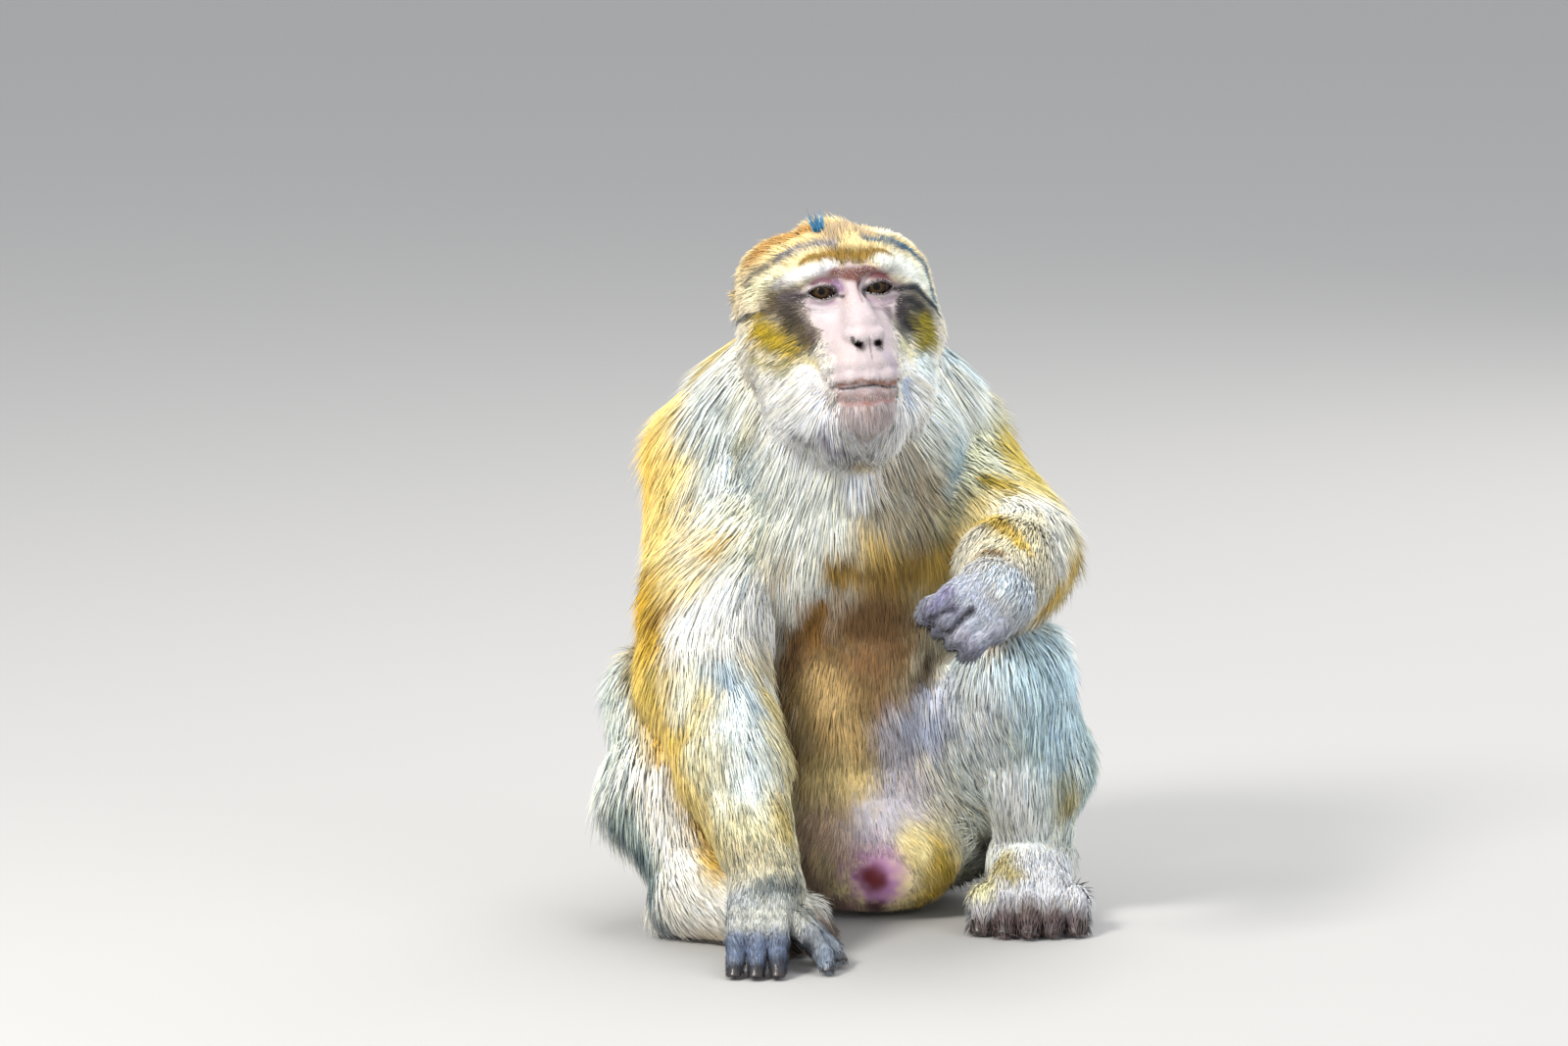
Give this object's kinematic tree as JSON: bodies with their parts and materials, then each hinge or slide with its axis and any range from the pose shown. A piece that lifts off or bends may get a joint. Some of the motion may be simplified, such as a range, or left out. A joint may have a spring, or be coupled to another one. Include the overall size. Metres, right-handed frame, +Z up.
{
  "type": "seated barbary macaque, life-size still model",
  "caption": "Life-size still model of an adult Barbary macaque sitting with one hand on the floor and the other over its raised knee.",
  "frame": {"origin": "on the floor, on the flat under the rump on which the animal sits", "axes": "+X to the animal's left, -Y the way it faces, +Z up"},
  "size_m": [0.3413, 0.3869, 0.4867],
  "materials": {
    "golden_coat": "thick golden fur, matt, ticked with dark hairs",
    "pale_coat": "long cream to grey fur, matt",
    "dark_coat": "short grey-brown fur on hands and feet, matt",
    "bare_skin": "pink to lilac wrinkled bare skin, satin",
    "eye": "wet, glossy, amber-brown iris"
  },
  "bodies": {
    "root": {"head": "golden_coat", "muzzle": "bare_skin", "lower_jaw": "bare_skin", "ear_left": "bare_skin", "ear_right": "bare_skin", "eye_left": "eye", "eye_right": "eye", "neck": "pale_coat", "chest": "pale_coat", "belly": "golden_coat", "rump": "pale_coat", "upper_arm_left": "golden_coat", "upper_arm_right": "golden_coat", "forearm_left": "golden_coat", "forearm_right": "golden_coat", "hand_left": "dark_coat", "hand_right": "dark_coat", "thigh_left": "pale_coat", "thigh_right": "pale_coat", "lower_leg_left": "pale_coat", "lower_leg_right": "pale_coat", "foot_left": "dark_coat", "foot_right": "dark_coat"}
  },
  "joints": []
}
